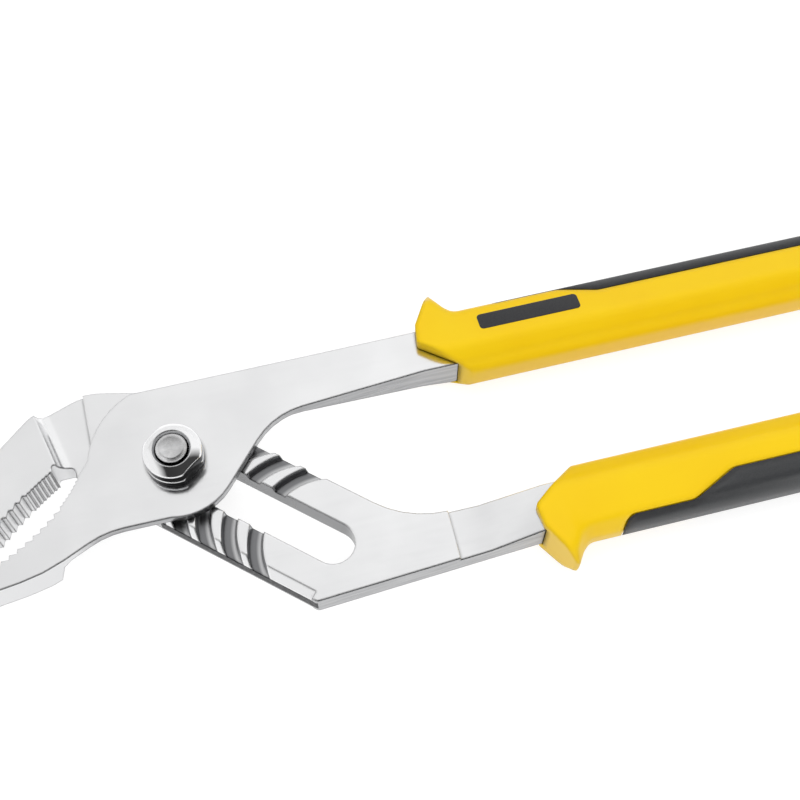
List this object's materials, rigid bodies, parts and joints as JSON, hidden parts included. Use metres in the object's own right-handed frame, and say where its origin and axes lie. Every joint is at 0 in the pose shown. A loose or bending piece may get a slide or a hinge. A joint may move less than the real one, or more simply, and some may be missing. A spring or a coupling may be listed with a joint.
{
  "type": "pliers",
  "caption": "Groove-joint pliers with a slotted rear lever, a tongued front lever, curved toothed jaws and two-material guarded handle grips.",
  "frame": {"origin": "on the pivot axis, at the flat back of the bolt head that the tool lies on", "axes": "+X along the handles away from the jaws, +Y across them towards the upper handle, +Z along the pivot axis towards the nut"},
  "size_m": [0.25, 0.0806, 0.0223],
  "materials": {
    "forged_steel": "polished and plated",
    "bolt_steel": "turned, end peened",
    "nut_steel": "turned and plated",
    "grip_plastic": "moulded, satin gloss",
    "palm_rubber": "finely textured"
  },
  "bodies": {
    "rear_lever": {"groove_lever": "forged_steel", "lower_grip": "grip_plastic", "lower_grip_insert": "palm_rubber"},
    "pivot": {"pivot_bolt": "bolt_steel", "pivot_nut": "nut_steel"},
    "front_lever": {"tongue_lever": "forged_steel", "upper_grip": "grip_plastic", "upper_grip_insert": "palm_rubber"}
  },
  "joints": [
    {"name": "jaw_setting", "type": "slide", "parent": "rear_lever", "child": "pivot", "axis": [0.7431, -0.6691, 0], "range_m": [0, 0.04482]},
    {"name": "lever_pivot", "type": "hinge", "parent": "pivot", "child": "front_lever", "pos_m": [0, 0, 0], "axis": [0, 0, 1], "range_deg": [0, 40]}
  ]
}
